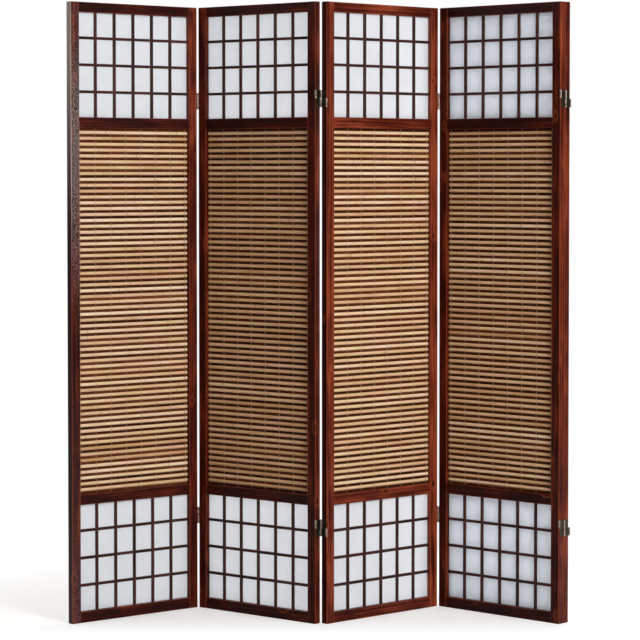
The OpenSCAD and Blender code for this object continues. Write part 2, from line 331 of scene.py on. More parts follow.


# %% [markdown]
# ## Stained softwood
#
# The frame is pine under a dark red-brown stain and a satin varnish. Pine shows its yearly rings as
# bands that are pale on one side and end in a sharp dark line. They lie round the middle of the tree,
# one RING_WIDTH after the other. So the finish takes a point's distance from there, out of the grain
# value that the point carries, divides it by RING_WIDTH and keeps the fraction that is left over.
# Slow noise makes the rings wander, and a few knots push them aside. Fine noise, drawn out along the
# board, gives the fibres. The edges are mixed towards a lighter, redder colour.

# %% The stained frame wood
RING_WIDTH = 0.0075
# The two colours below are a painted grey reflection and a pale painted highlight, both for the first
# stile.
PAINTED_SHEEN_GREY = (0.44, 0.365, 0.345, 1)
PAINTED_HIGHLIGHT_PALE = (0.90, 0.76, 0.72, 1)


def stained_wood(name, dark, middle, light, shine):
    """Pine under stain, from three colours. shine is the roughness of the varnish.

    The tone is a sum: slow blotches, streaks and fibres along the board and the board's own stain,
    less the dark late wood at the end of each ring. A ramp turns it into the stained colour. A knot
    is a dark core with a pale rim, at the points of a cell pattern. A glint value puts fine painted
    grey specks on it, a painted reflection, and makes the varnish rougher there. A sheen value covers
    the wood with an even painted grey reflection from 0 to 1, and from 1 to 2 that turns into a pale
    painted highlight on an edge."""
    made, tree, shader = new_finish(name)
    grain = value_of(tree, "grain", "Vector")
    worn = value_of(tree, "worn")
    stain = value_of(tree, "stain")
    matt = value_of(tree, "matt")
    haze = value_of(tree, "haze")
    wander = noise(tree, stretched(tree, grain, 14, 14, 1.6), 1.0, 2)
    cells = add(tree, "ShaderNodeTexVoronoi", {
        "Vector": stretched(tree, grain, 1, 1, 0.5), "Scale": 15.0, "Randomness": 1.0}).outputs["Distance"]
    near_knot = fade(tree, cells, 0.24, 0.03)
    core = fade(tree, cells, 0.105, 0.06)
    rim = math_node(tree, "SUBTRACT", fade(tree, cells, 0.2, 0.12), core)
    apart = add(tree, "ShaderNodeSeparateXYZ", {0: grain})
    middle_distance = math_node(tree, "SQRT", math_node(
        tree, "ADD", math_node(tree, "POWER", apart.outputs[0], 2.0),
        math_node(tree, "POWER", apart.outputs[1], 2.0)))
    pushed = math_node(tree, "MULTIPLY_ADD", wander, 0.03, middle_distance)
    pushed = math_node(tree, "MULTIPLY_ADD", near_knot, 0.012, pushed)
    ring = math_node(tree, "FRACT", math_node(tree, "DIVIDE", pushed, RING_WIDTH))
    late = fade(tree, ring, 0.3, 0.92)
    fibre = noise(tree, stretched(tree, grain, 700, 700, 12), 1.0, 3, 0.6)
    streak = noise(tree, stretched(tree, grain, 150, 150, 2.4), 1.0, 2, 0.5)
    blotch = noise(tree, stretched(tree, grain, 24, 24, 7), 1.0, 2)
    tone = math_node(tree, "MULTIPLY_ADD", late, -0.22, math_node(
        tree, "MULTIPLY_ADD", fibre, 0.7, math_node(tree, "MULTIPLY_ADD", streak, 1.2, math_node(
            tree, "MULTIPLY_ADD", blotch, 1.2, math_node(tree, "SUBTRACT", stain, 0.95)))), clamp=True)
    colour = ramp(tree, tone, (0.05, dark), (0.5, middle), (1.0, light))
    colour = mixed(tree, math_node(tree, "MULTIPLY", rim, 0.35, clamp=True), colour, (*light, 1))
    colour = mixed(tree, math_node(tree, "MULTIPLY", core, 0.85), colour, (*dark, 1))
    rubbed = math_node(tree, "MULTIPLY", worn, math_node(tree, "MULTIPLY", fibre, 0.8), clamp=True)
    colour = mixed(tree, rubbed, colour, (*[c * 1.5 for c in light], 1))
    # Painted reflections: fine grey glints, an even grey sheen and, on the first stile's arris, a pale
    # painted highlight.
    speck = fade(tree, noise(tree, grain, 340.0, 1, 0.5), 0.47, 0.60)
    glint_share = math_node(tree, "MAXIMUM", haze, math_node(tree, "MULTIPLY", matt, speck), clamp=True)
    highlight_share = math_node(tree, "SUBTRACT", haze, 1.0, clamp=True)
    colour = mixed(tree, glint_share, colour, mixed(tree, highlight_share, PAINTED_SHEEN_GREY, PAINTED_HIGHLIGHT_PALE))
    pores = noise(tree, stretched(tree, grain, 420, 420, 170), 1.0, 2, 0.7)
    roughness = math_node(
        tree, "MULTIPLY_ADD", pores, 0.3, math_node(tree, "MULTIPLY_ADD", glint_share, 0.3, shine))
    height = math_node(tree, "MULTIPLY_ADD", late, 0.35, math_node(
        tree, "MULTIPLY_ADD", fibre, 0.4, math_node(tree, "MULTIPLY", pores, 0.8)))
    connect(tree, shader, {
        "Base Color": colour, "Roughness": roughness, "Specular IOR Level": 0.14,
        "Normal": bumps(tree, height, 0.5, 0.0004)})
    return made


frame_wood = stained_wood(
    "stained frame wood", (0.016, 0.0010, 0.0003), (0.072, 0.0068, 0.0020), (0.265, 0.049, 0.018), 0.25)
lattice_wood = stained_wood(
    "stained lattice wood", (0.012, 0.0040, 0.0038), (0.034, 0.0105, 0.0085), (0.085, 0.027, 0.020), 0.30)
print("wood finishes:", frame_wood.name, "and", lattice_wood.name)

# %% [markdown]
# ## Stiles and rails
#
# A stile is a rectangular bar with eased edges. Its ring is a rectangle with an arc at each corner,
# and the ring has an extra point on each flat just before an arc, so that smooth shading bends only
# at the arc. The radius drifts a little along the bar, as it does where edges were eased by hand.

# %% Rounded rectangles along a line
ARC_STEPS = 3
FLAT_EDGE = 0.0006


def rounded_ring(half_x, half_y, radius):
    """Points of a rectangle with round corners, anticlockwise from its lower right one.

    At a corner the point is the corner's centre plus the radius times (cos a, sin a), with a going
    through a quarter turn. half_x, half_y and radius may be arrays, one entry to each ring. Returns
    the points and, for each, 1 on an arc or 0 on a flat."""
    half_x, half_y, radius = (np.asarray(v, float)[..., None, None] for v in (half_x, half_y, radius))
    turn = np.arange(4)[:, None] * np.pi / 2 - np.pi / 2 + np.linspace(0, np.pi / 2, ARC_STEPS + 1)
    turn = np.concatenate([turn[:, :1], turn, turn[:, -1:]], 1)
    side_x = np.array([1, 1, -1, -1])[:, None]
    side_y = np.array([-1, 1, 1, -1])[:, None]
    back = np.zeros_like(turn)
    back[:, 0] = -FLAT_EDGE
    back[:, -1] = FLAT_EDGE
    heading = turn + np.pi / 2
    x = side_x * (half_x - radius) + radius * np.cos(turn) + back * np.cos(heading)
    y = side_y * (half_y - radius) + radius * np.sin(turn) + back * np.sin(heading)
    arc = np.zeros(turn.shape)
    arc[:, 1:-1] = 1
    points = np.stack([x, y], -1)
    return points.reshape(points.shape[:-3] + (-1, 2)), arc.ravel()


def eased(length, spacing, ease):
    """Stations along a bar and how far the ring is drawn in there: by ease at both ends.

    There is one more station just inside each end, so that the shading bends only outside it."""
    inner = np.linspace(ease + FLAT_EDGE, length - ease - FLAT_EDGE, max(2, int(length / spacing) + 1))
    start, finish = ([0, ease], [length - ease, length]) if ease else ([0], [length])
    along = np.r_[start, inner, finish]
    drawn_in = np.zeros(len(along))
    drawn_in[[0, -1]] = ease
    return along, drawn_in


def drift(rng, along, size):
    """A slow random wave along a bar: three sines with random phases, added up."""
    waves = rng.uniform([[2], [5], [11]], [[4], [9], [17]])
    phases = rng.uniform(0, 2 * np.pi, (3, 1))
    return size * np.sin(waves * along * 2 + phases).mean(0)


END_EASE = 0.0008
RADIUS_DRIFT = 0.22
PITH_ACROSS = (-0.05, 0.05)
PITH_BEHIND = (0.03, 0.07)
PITH_LEAN = 0.012
STAIN_SPREAD = 0.04
SPOT_FADE = 0.001
SPOT_WEAR = 0.55


def board(rng, low, high, axis, radius, spacing, ease=END_EASE, stain=0.0, worn_spots=None):
    """A bar between two corners, along axis 0 (x) or 2 (z), with round edges and eased ends.

    Its grain value is a place in the tree: the point's place in the ring plus the way to the pith,
    which leans a little along the bar, and the distance along the bar plus a random start.
    worn_spots are rows of (start, end) along the bar where its face is rubbed too."""
    low, high = np.asarray(low, float), np.asarray(high, float)
    centre, half = (low + high) / 2, (high - low) / 2
    along, drawn_in = eased(high[axis] - low[axis], spacing, ease)
    spot = np.zeros(len(along))
    if worn_spots is not None:
        ends = np.asarray(worn_spots) - low[axis]
        extra = np.concatenate([ends[:, 0] - SPOT_FADE, ends.ravel(), ends[:, 1] + SPOT_FADE])
        lit = np.concatenate([np.zeros(len(ends)), np.ones(2 * len(ends)), np.zeros(len(ends))])
        order = np.argsort(np.r_[along, extra])
        drawn_in = np.r_[drawn_in, np.zeros(len(extra))][order]
        spot = np.r_[spot, lit][order]
        along = np.r_[along, extra][order]
    around = [1, 2] if axis == 0 else [0, 1]
    r = radius + drift(rng, along, radius * RADIUS_DRIFT)
    ring, arc = rounded_ring(half[around[0]] - drawn_in, half[around[1]] - drawn_in, r)
    points = np.empty(ring.shape[:2] + (3,))
    points[..., around] = ring + centre[around]
    points[..., axis] = (low[axis] + along)[:, None]
    pith = np.r_[rng.uniform(*PITH_ACROSS), rng.uniform(*PITH_BEHIND)]
    lean = rng.uniform(-PITH_LEAN, PITH_LEAN, 2)
    grain = np.empty_like(points)
    grain[..., :2] = ring + pith + (lean * along[:, None])[:, None]
    grain[..., 2] = along[:, None] + rng.uniform(0, 50)
    worn = np.maximum(arc, spot[:, None] * SPOT_WEAR)
    stain = stain + rng.normal(0, STAIN_SPREAD)
    return bars(points[None], grain=grain[None], worn=worn[None], stain=stain)


print("a bar's ring has", len(rounded_ring(*stile[:2] / 2, END_EASE)[1]), "points")

# %% [markdown]
# The wood took the stain unevenly, so every piece of the frame has its own lightness. STAIN has a row
# of five numbers, one for each panel: more is lighter and less is darker. Its side rows are painted
# light and shade on the stiles' end faces. The first stile also carries painted reflections, mostly
# on its upper half: painted grey glints on its front, a painted grey sheen on its outer side and a
# pale painted highlight on its front arris. Each of these is a share at a list of heights in metres
# above the floor.

# %% Make the frames
STILE_EDGE = 0.001
RAIL_EDGE = 0.0009
FRAME_STEP = 0.03
LET_IN = 0.001
RAIL_SETBACK = 0.0004
ON_FACE = 1e-6
SEED = 41
# The side rows are painted light and shade on the stiles' end faces: lighter where an end face catches
# light, darker where it lies in shade. The fade rows make the first panel's right stile and the fourth
# panel's right end face lighter towards the top and darker lower down.
STAIN = {
    "left": [-0.28, -0.18, 0.12, -0.17, 0.0],
    "right": [-0.03, -0.26, 0.24, -0.24, 0.0],
    "rails": [-0.36, -0.38, 0.06, -0.44, -0.16],
    "left_end_painted_light_and_shade": [-0.36, -0.22, -0.40, -0.22, 0.10],
    "right_end_painted_light": [0.13, 0.13, 0.13, 0.36, 0.13],
    "right_fade": [0.16, 0.0, 0.0, 0.0, 0.0],
    "right_end_painted_fade": [0.0, 0.0, 0.0, 0.10, 0.0]}
FADE_HEIGHTS = (0.4, 1.25, 1.7)
# Painted reflections on the first stile, at each height: how much grey glint its front gets, how much grey
# sheen its outer side gets and how much pale highlight its arris gets.
SHEEN_HEIGHTS = (0.0, 0.35, 0.80, 0.92, 1.04, 1.16, 1.28, 1.40, 1.52, 1.64, 1.79)
GLINTS_FRONT = (0.18, 0.06, 0.0, 0.05, 0.28, 0.45, 0.66, 0.76, 0.58, 0.20, 0.10)
SHEEN_SIDE = (0.05, 0.0, 0.0, 0.0, 0.0, 0.0, 0.10, 0.25, 0.45, 0.78, 0.78)
HIGHLIGHT_ARRIS = (0.3, 0.1, 0.0, 0.0, 0.2, 0.8, 1.7, 2.0, 2.0, 1.9, 1.0)


def side_face(bar, x):
    """Where a bar's points lie on its face at one x: 1 there and 0 elsewhere."""
    return (np.abs(bar["points"][:, 0] - x) < ON_FACE).astype(float)


def paint_stile_reflections(bar):
    """Painted reflections on the first stile: grey glints on its front, a grey sheen on its outer side and
    a pale highlight on its arris.

    A share at a point goes in a straight line from one listed height to the next."""
    x, y, z = bar["points"].T
    front_glints, side, arris = (
        np.interp(z, SHEEN_HEIGHTS, share) for share in (GLINTS_FRONT, SHEEN_SIDE, HIGHLIGHT_ARRIS))
    on_arris = (x > ON_FACE) & (x < STILE_EDGE) & (y > ON_FACE) & (y < STILE_EDGE)
    bar["values"]["matt"] = front_glints * (y < stile[1] / 2) * (side_face(bar, 0) == 0)
    bar["values"]["haze"] = side * side_face(bar, 0) + arris * on_arris


def make_frame(panel, rng, stain):
    """The two stiles and the four rails of one panel, each as light as it took the stain.

    The side values, painted light and shade, are added on a stile's outer side. The fade values are taken
    off the right stile at the lowest of FADE_HEIGHTS, left out at the middle one and added at the highest."""
    left = board(rng, (0, 0, 0), stile, 2, STILE_EDGE, FRAME_STEP, stain=stain["left"])
    right = board(
        rng, (opening[1], 0, 0), (panel_w, *stile[1:]), 2, STILE_EDGE, FRAME_STEP, stain=stain["right"])
    # Painted light and shade on the end faces.
    for bar, x, side in ((left, 0, "left_end_painted_light_and_shade"), (right, panel_w, "right_end_painted_light")):
        bar["values"]["stain"] = bar["values"]["stain"] + stain[side] * side_face(bar, x)
    fading = stain["right_fade"] + stain["right_end_painted_fade"] * side_face(right, panel_w)
    right["values"]["stain"] += np.interp(right["points"][:, 2], FADE_HEIGHTS, (-1, 0, 1)) * fading
    # Painted reflections on the first stile.
    if panel == first:
        paint_stile_reflections(left)
    rails = joined([
        board(rng, (opening[0] - LET_IN, RAIL_SETBACK, low),
              (opening[1] + LET_IN, stile[1] - RAIL_SETBACK, high), 0,
              RAIL_EDGE, FRAME_STEP, 0, stain=stain["rails"])
        for low, high in rail_heights])
    for name, surface in (("left_stile", left), ("right_stile", right), ("rails", rails)):
        piece(f"{panel}_{name}_wood", panel, surface, frame_wood, "frame_wood", f"{panel}_{name}")


random_by_panel = {panel: np.random.default_rng(SEED + i) for i, panel in enumerate(panels)}
for i, panel in enumerate(panels):
    make_frame(panel, random_by_panel[panel], {name: row[i] for name, row in STAIN.items()})
print("frames:", len(panels))

# %% [markdown]
# ## The lattice
#
# On the real screen the lattice bars are half-lapped: each is cut half way through where another
# crosses it, so that the fronts are flush. Seen from the front the uprights run through, and the
# crossbars lie between them, which is how they are made here.

# %% Make the lattices
COLUMNS = 6
ROWS = 4
BAR_W = 0.008
BAR_EDGE = 0.0005
BAR_STEP = 0.05


def places(low, high, parts):
    """The edges of the bars that part a stretch into equal windows, as rows of start and end."""
    window = (high - low - (parts - 1) * BAR_W) / parts
    starts = low + window + np.arange(parts - 1) * (window + BAR_W)
    return np.stack([starts, starts + BAR_W], 1)


def make_lattice(panel, rng):
    """Both lattices of one panel. The uprights are rubbed where crossbars meet them."""
    front, behind = lattice_depth
    parts = []
    for low, high in windows:
        uprights = places(*opening, COLUMNS)
        crossings = places(low, high, ROWS)
        for x0, x1 in uprights:
            parts.append(board(rng, (x0, front, low - LET_IN), (x1, behind, high + LET_IN), 2,
                               BAR_EDGE, BAR_STEP, 0, worn_spots=crossings))
        edges = np.r_[opening[0] - LET_IN, uprights.ravel(), opening[1] + LET_IN].reshape(-1, 2)
        edges = edges + [-FLAT_EDGE, FLAT_EDGE]
        for z0, z1 in crossings:
            for x0, x1 in edges:
                parts.append(
                    board(rng, (x0, front, z0), (x1, behind, z1), 0, BAR_EDGE, BAR_STEP, 0))
    piece(f"{panel}_lattice_wood", panel, joined(parts), lattice_wood, "lattice_wood", f"{panel}_lattice")


for panel in panels:
    make_lattice(panel, random_by_panel[panel])
print("lattices:", 2 * len(panels))

# %% [markdown]
# ## Paper
#
# The paper is thin and lets light through, so the finish mixes two shaders: a diffuse one for the
# light from the front and a translucent one for the light from behind. Long fibres lie in it in all
# directions. They are noise that has been bent by other noise and cut to thin lines.

# %% The paper finish
SHINES_THROUGH = 0.75


def paper_finish():
    """White fibrous paper, lit from the front and from behind."""
    made, tree, shader = new_finish("screen paper")
    place = value_of(tree, "grain", "Vector")
    bent = add(tree, "ShaderNodeVectorMath", {
        0: place, 1: (0.02, 0.02, 0.02), 2: noise(tree, place, 30.0, 2)}, operation="MULTIPLY_ADD")
    cloud = noise(tree, place, 55.0, 4)
    lines = add(tree, "ShaderNodeTexNoise", {
        "Vector": bent.outputs[0], "Scale": 900.0, "Detail": 2.0}, noise_type="RIDGED_MULTIFRACTAL")
    fibre = add(tree, "ShaderNodeMapRange", {0: lines.outputs[0], 1: 0.9, 2: 1.6})
    cloudy = math_node(tree, "MULTIPLY_ADD", cloud, 0.2, math_node(
        tree, "MULTIPLY_ADD", fibre.outputs[0], 0.15, value_of(tree, "tone")), clamp=True)
    colour = ramp(tree, cloudy, (0.0, (0.66, 0.675, 0.70)), (1.0, (0.945, 0.962, 0.99)))
    connect(tree, shader, {"Base Color": colour, "Roughness": 0.85, "Specular IOR Level": 0.2})
    through = add(tree, "ShaderNodeBsdfTranslucent", {"Color": colour})
    both = add(tree, "ShaderNodeMixShader", {
        0: SHINES_THROUGH, 1: shader.outputs[0], 2: through.outputs[0]})
    connect(tree, tree.nodes["Material Output"], {"Surface": both.outputs[0]})
    return made


screen_paper = paper_finish()
print("paper finish:", screen_paper.name)

# %% Make the sheets of paper
SHEET_STEPS = (73, 49)
SLACK = 0.0003
UNEVEN = 0.6
WAVES = (2.1, 1.7)
# Painted light: the second panel's sheets are set darker and the fourth and fifth panels' sheets lighter,
# for how much light reaches them from behind.
PAPER_TONE_AND_LIGHT = [0.55, 0.37, 0.55, 0.76, 0.76]


def make_paper(panel, rng, tone):
    """The two sheets of one panel, each a thin closed plate that lies slack between the bars.

    The slack at a point is a sine across its pane times a sine up it, so it is nothing at the bars,
    times a slower wave that goes over the whole sheet. tone sets how bright the paper is, and its
    differences between panels are painted light."""
    parts = []
    for low, high in windows:
        x, z = np.meshgrid(
            np.r_[opening[0] - LET_IN, np.linspace(*opening, SHEET_STEPS[0]), opening[1] + LET_IN],
            np.r_[low - LET_IN, np.linspace(low, high, SHEET_STEPS[1]), high + LET_IN], indexing="ij")
        across = (x - opening[0]) / (opening[1] - opening[0]) * COLUMNS
        up = (z - low) / (high - low) * ROWS
        slack = SLACK * np.abs(np.sin(np.pi * across) * np.sin(np.pi * up))
        wave = np.sin(across * WAVES[0] + rng.uniform(0, 6)) * np.sin(up * WAVES[1])
        slack = slack * (1 + UNEVEN * wave)
        front = np.stack([x, paper_depth[0] + slack, z], -1)
        back = np.stack([x, paper_depth[1] + slack, z], -1)
        ring = np.concatenate([front[:, ::-1], back], 1)[None]
        grain = ring + rng.uniform(0, 9, 3)
        parts.append(bars(ring, grain=grain, tone=tone))
    sheet = joined(parts)
    piece(f"{panel}_paper_sheets", panel, sheet, screen_paper, "paper", f"{panel}_paper")


for panel, tone in zip(panels, PAPER_TONE_AND_LIGHT):
    make_paper(panel, random_by_panel[panel], tone)
print("sheets of paper:", 2 * len(panels))

# %% [markdown]
# ## Bamboo
#
# A slat is a strip split from a bamboo cane and laid with the cane's outside to the front. Its
# fibres run dead straight, and every 20 to 34 cm a joint of the cane crosses it as a low ridge with
# a dark line. Each slat carries its own random tone, because no two canes have the same colour. The
# hue also drifts along a slat, between a yellower and a pinker one.

# %% The bamboo finishes
YELLOWER = (0.98, 1.025, 0.93, 1)
PINKER = (1.015, 0.97, 1.05, 1)


def bamboo_finish(name, dark, middle, light, line):
    """Split bamboo from three colours. line is the colour of a cane's joint.

    The tone is a sum of fibres, slow clouds and the slat's own tone, and a ramp turns it into a
    colour. That is multiplied by YELLOWER or PINKER, or by a mix of the two."""
    made, tree, shader = new_finish(name)
    grain = value_of(tree, "grain", "Vector")
    tone = value_of(tree, "tone")
    knuckle = value_of(tree, "joint")
    fibre = noise(tree, stretched(tree, grain, 18, 1400, 1400), 1.0, 3, 0.65)
    cloud = noise(tree, stretched(tree, grain, 9, 60, 60), 1.0, 3)
    mix = math_node(tree, "MULTIPLY_ADD", fibre, 0.7, math_node(
        tree, "MULTIPLY_ADD", cloud, 0.7, math_node(tree, "MULTIPLY_ADD", tone, 0.6, -0.5)), clamp=True)
    colour = ramp(tree, mix, (0.1, dark), (0.5, middle), (0.9, light))
    hue = fade(tree, noise(tree, stretched(tree, grain, 11, 45, 45), 1.0, 3), 0.36, 0.64)
    colour = mixed(tree, 1.0, colour, mixed(tree, hue, YELLOWER, PINKER), "MULTIPLY")
    ringed = math_node(tree, "MULTIPLY", math_node(tree, "POWER", knuckle, 3.0), 0.7)
    colour = mixed(tree, ringed, colour, (*line, 1))
    connect(tree, shader, {
        "Base Color": colour, "Roughness": math_node(tree, "MULTIPLY_ADD", fibre, 0.25, 0.3),
        "Specular IOR Level": 0.09, "Normal": bumps(tree, fibre, 0.3, 0.0002)})
    return made


light_bamboo = bamboo_finish(
    "natural bamboo", (0.54, 0.297, 0.14), (0.75, 0.502, 0.305), (0.90, 0.72, 0.53), (0.24, 0.11, 0.045))
dark_bamboo = bamboo_finish(
    "stained bamboo", (0.026, 0.0045, 0.0006), (0.070, 0.0150, 0.0026), (0.15, 0.044, 0.011),
    (0.010, 0.002, 0.0005))
print("bamboo finishes:", light_bamboo.name, "and", dark_bamboo.name)

# %% Make the slats
SLAT_RING = np.array([
    [-1.0, -0.18], [-0.35, -0.82], [0.35, -1.0], [1.0, -0.86], [1.0, 0.86], [0.35, 1.0], [-0.35, 0.82],
    [-1.0, 0.18]])
CANE_JOINT = (0.20, 0.34)
JOINT_REACH = 0.004
JOINT_HEIGHT = 0.00035
FIRST_JOINT = 0.02
LAST_JOINT = 0.012
JOINTS_APART = 0.05
THINNEST = 0.93
SLIT = 0.00002
SLAT_GAP = dark_heights[1, 0] - light_heights[0, 1]
# Each panel's middle tone of the canes. The low ones on the second and fourth panels are painted shade,
# for those panels face away from the key lamp.
SLAT_TONE_AND_SHADE = [0.50, 0.14, 0.42, 0.32, 0.50]
TONE_SPREAD = 0.22


def slats(rng, heights, depth, middle_tone):
    """A field of slats whose tones vary round middle_tone.

    A slat's ring is a strip with a crowned front. Its stations lie close together round two joints
    of the cane, where the front stands proud by JOINT_HEIGHT. The rings stand SLIT apart."""
    count = len(heights)
    start, end = opening[0] - LET_IN, opening[1] + LET_IN
    reach = rng.uniform(*CANE_JOINT, count)
    joint = np.stack([rng.uniform(start + FIRST_JOINT, start + reach), np.zeros(count)], 1)
    joint[:, 1] = np.minimum(joint[:, 0] + reach, end - LAST_JOINT)
    joint[:, 0] = np.minimum(joint[:, 0], joint[:, 1] - JOINTS_APART)
    along = np.concatenate([
        np.full((count, 2), [start, opening[0]]), joint[:, :1] + [-JOINT_REACH, 0, JOINT_REACH],
        joint[:, 1:] + [-JOINT_REACH, 0, JOINT_REACH], np.full((count, 2), [opening[1], end])], 1)
    at_joint = np.array([0, 0, 0, 1, 0, 0, 1, 0, 0, 0.0])
    half_h = (heights[:, 1] - heights[:, 0] + SLAT_GAP - SLIT) / 2
    half_t = (depth[1] - depth[0]) / 2 * rng.uniform(THINNEST, 1, count)
    ring_y = SLAT_RING[:, 0] * half_t[:, None]
    ring_z = SLAT_RING[:, 1] * half_h[:, None]
    proud = JOINT_HEIGHT * at_joint[:, None] * np.minimum(SLAT_RING[:, 0], 0)
    points = np.empty((count, len(at_joint), len(SLAT_RING), 3))
    points[..., 0] = along[..., None]
    points[..., 1] = depth.mean() + ring_y[:, None] + proud
    points[..., 2] = heights.mean(1)[:, None, None] + ring_z[:, None]
    grain = points + rng.uniform(0, 40, (count, 1, 1, 3))
    tone = np.clip(rng.normal(middle_tone, TONE_SPREAD, count), 0, 1)[:, None, None]
    return bars(points, grain=grain, tone=tone, joint=at_joint[:, None])


def make_slats(panel, rng, tone):
    """The light and the dark slats of one panel."""
    for shade, heights, depth, finish in (
            ("light", light_heights, light_depth, light_bamboo),
            ("dark", dark_heights, dark_depth, dark_bamboo)):
        piece(f"{panel}_{shade}_bamboo", panel, slats(rng, heights, depth, tone), finish,
              f"{shade}_bamboo", f"{panel}_{shade}_slats")


for panel, tone in zip(panels, SLAT_TONE_AND_SHADE):
    make_slats(panel, random_by_panel[panel], tone)
print("slats:", len(panels) * (len(light_heights) + len(dark_heights)))

# %% [markdown]
# ## Warp threads
#
# Pairs of cotton threads twist round every slat and hold the field together. From either side one
# sees a thread that lies on each slat and dips into the groove before the next. So each thread is a
# thin tube that has a ring on every shoulder of a slat and one in every groove, and smooth shading
# rounds the bends between them.

# %% The thread finish
TWIST = 0.0024


def thread_finish():
    """Two-ply cotton. The twist is a wave that climbs round the thread, TWIST in each turn."""
    made, tree, shader = new_finish("warp thread")
    round_and_up = value_of(tree, "grain", "Vector")
    apart = add(tree, "ShaderNodeSeparateXYZ", {0: round_and_up})
    phase = math_node(tree, "MULTIPLY_ADD", apart.outputs[2], 2 * math.pi / TWIST, apart.outputs[0])
    ply = math_node(tree, "ABSOLUTE", math_node(tree, "SINE", phase))
    fluff = noise(tree, round_and_up, 300.0, 3)
    tone = math_node(tree, "MULTIPLY_ADD", ply, 0.6, math_node(tree, "MULTIPLY", fluff, 0.5), clamp=True)
    colour = ramp(tree, tone, (0.1, (0.22, 0.135, 0.075)), (0.7, (0.54, 0.375, 0.23)))
    connect(tree, shader, {
        "Base Color": colour, "Roughness": 0.9, "Sheen Weight": 0.2,
        "Normal": bumps(tree, ply, 0.8, 0.0002)})
    return made


warp_thread = thread_finish()
print("thread finish:", warp_thread.name)

# %% Make the threads
THREAD_R = 0.00045
THREAD_SIDES = 5
DIP = 0.0011
SHOULDER = 0.22
SWAY = 0.0004


def make_threads(panel, rng):
    """Both threads of every warp line, each swept along its dipping path.

    The stations are the groove under each slat, its two shoulders and the groove over the last one.
    The thread lies on the slat's face at the shoulders, and DIP further in at a groove."""
    light_t, dark_t = light_depth[1] - light_depth[0], dark_depth[1] - dark_depth[0]
    slat = np.concatenate([np.c_[light_heights, np.full(len(light_heights), light_t / 2)],
                           np.c_[dark_heights, np.full(len(dark_heights), dark_t / 2)]])
    low, high, half_t = slat[np.argsort(slat[:, 0])].T
    shoulder = (high - low) * SHOULDER
    z = np.stack([low, low + shoulder, high - shoulder], 1).ravel()
    proud = np.stack([half_t - DIP, half_t, half_t], 1).ravel() + THREAD_R
    z, proud = np.r_[z, high[-1]], np.r_[proud, half_t[-1] - DIP + THREAD_R]
    turn = np.arange(THREAD_SIDES) * 2 * np.pi / THREAD_SIDES
    count = len(cord_places)
    parts = []
    for side in (-1, 1):
        sway = rng.normal(0, SWAY, (count, len(z)))
        points = np.empty((count, len(z), THREAD_SIDES, 3))
        points[..., 0] = (cord_places[:, None] + sway)[..., None] + THREAD_R * np.cos(turn)
        points[..., 1] = light_depth.mean() + (side * proud)[:, None] + THREAD_R * np.sin(turn)
        points[..., 2] = z[:, None]
        grain = np.empty_like(points)
        grain[..., 0] = turn
        grain[..., 1] = rng.uniform(0, 9, (count, 1, 1))
        grain[..., 2] = z[:, None]
        parts.append(bars(points, grain=grain))
    piece(f"{panel}_threads", panel, joined(parts), warp_thread, "cord", f"{panel}_warp_cords")


for panel in panels:
    make_threads(panel, random_by_panel[panel])
print("threads:", 2 * len(cord_places) * len(panels))

# %% [markdown]
# ## Hinges
#
# A two-way hinge has a leaf on each of the two panels and two links between them, one in its upper
# half and one in its lower half. Each leaf has barrels on its front at one height and on its back at
# the other, so the panels fold either way. The plates are outlines with a bevel, carried through the
# thickness of the metal, and the barrels are turned on a lathe, with a small chamfer at each end.

# %% The metal finishes
def worn_metal(name, base, bright, rough):
    """Darkened metal with a mottled patina, rubbed bright in patches where its points say so."""
    made, tree, shader = new_finish(name)
    place = add(tree, "ShaderNodeTexCoord").outputs["Object"]
    worn = value_of(tree, "worn")
    speck = noise(tree, place, 900.0, 4, 0.7)
    cloud = noise(tree, place, 120.0, 3)
    patina = add(tree, "ShaderNodeMapRange", {0: speck, 1: 0.42, 2: 0.68})
    share = math_node(tree, "MULTIPLY", patina.outputs[0], 0.2)
    rubbed = math_node(tree, "MULTIPLY_ADD", cloud, 2.2, -0.55, clamp=True)
    share = math_node(tree, "MULTIPLY_ADD", worn, rubbed, share, clamp=True)
    colour = mixed(tree, share, (*base, 1), (*bright, 1))
    connect(tree, shader, {
        "Base Color": colour, "Roughness": math_node(tree, "MULTIPLY_ADD", speck, 0.3, rough),
        "Metallic": 0.9, "Normal": bumps(tree, speck, 0.25, 0.0001)})
    return made


hinge_metal = worn_metal("darkened bronze", (0.018, 0.020, 0.013), (0.66, 0.50, 0.41), 0.18)
pin_metal = worn_metal("bronzed steel", (0.10, 0.08, 0.06), (0.50, 0.40, 0.34), 0.25)
print("metal finishes:", hinge_metal.name, "and", pin_metal.name)

# %% Plates and turned pieces
BARREL_SIDES = 24
RIM = 0.00025


def rectangle(y0, z0, y1, z1):
    """The outline of an upright rectangle, for plate."""
    return [(y0, z0), (y1, z0), (y1, z1), (y0, z1)]


def plate(outline, x0, x1):
    """A plate in the plane of y and z, from x0 to x1, with rims bevelled by RIM.

    A point of the rim moves inwards along the sum of the normals of the two edges that meet there."""
    outline = np.asarray(outline, float)
    edge = np.roll(outline, -1, 0) - outline
    normal = np.stack([-edge[:, 1], edge[:, 0]], 1) / np.linalg.norm(edge, axis=1)[:, None]
    before = np.roll(normal, 1, 0)
    inward = (normal + before) / (1 + (normal * before).sum(1))[:, None]
    rings = np.stack([outline + inward * RIM, outline, outline, outline + inward * RIM])
    x = np.array([x0, x0 + RIM, x1 - RIM, x1])
    points = np.empty((1, 4, len(outline), 3))
    points[0, ..., 0] = x[:, None]
    points[0, ..., 1:] = rings
    return bars(points, smooth=False, worn=0.0)


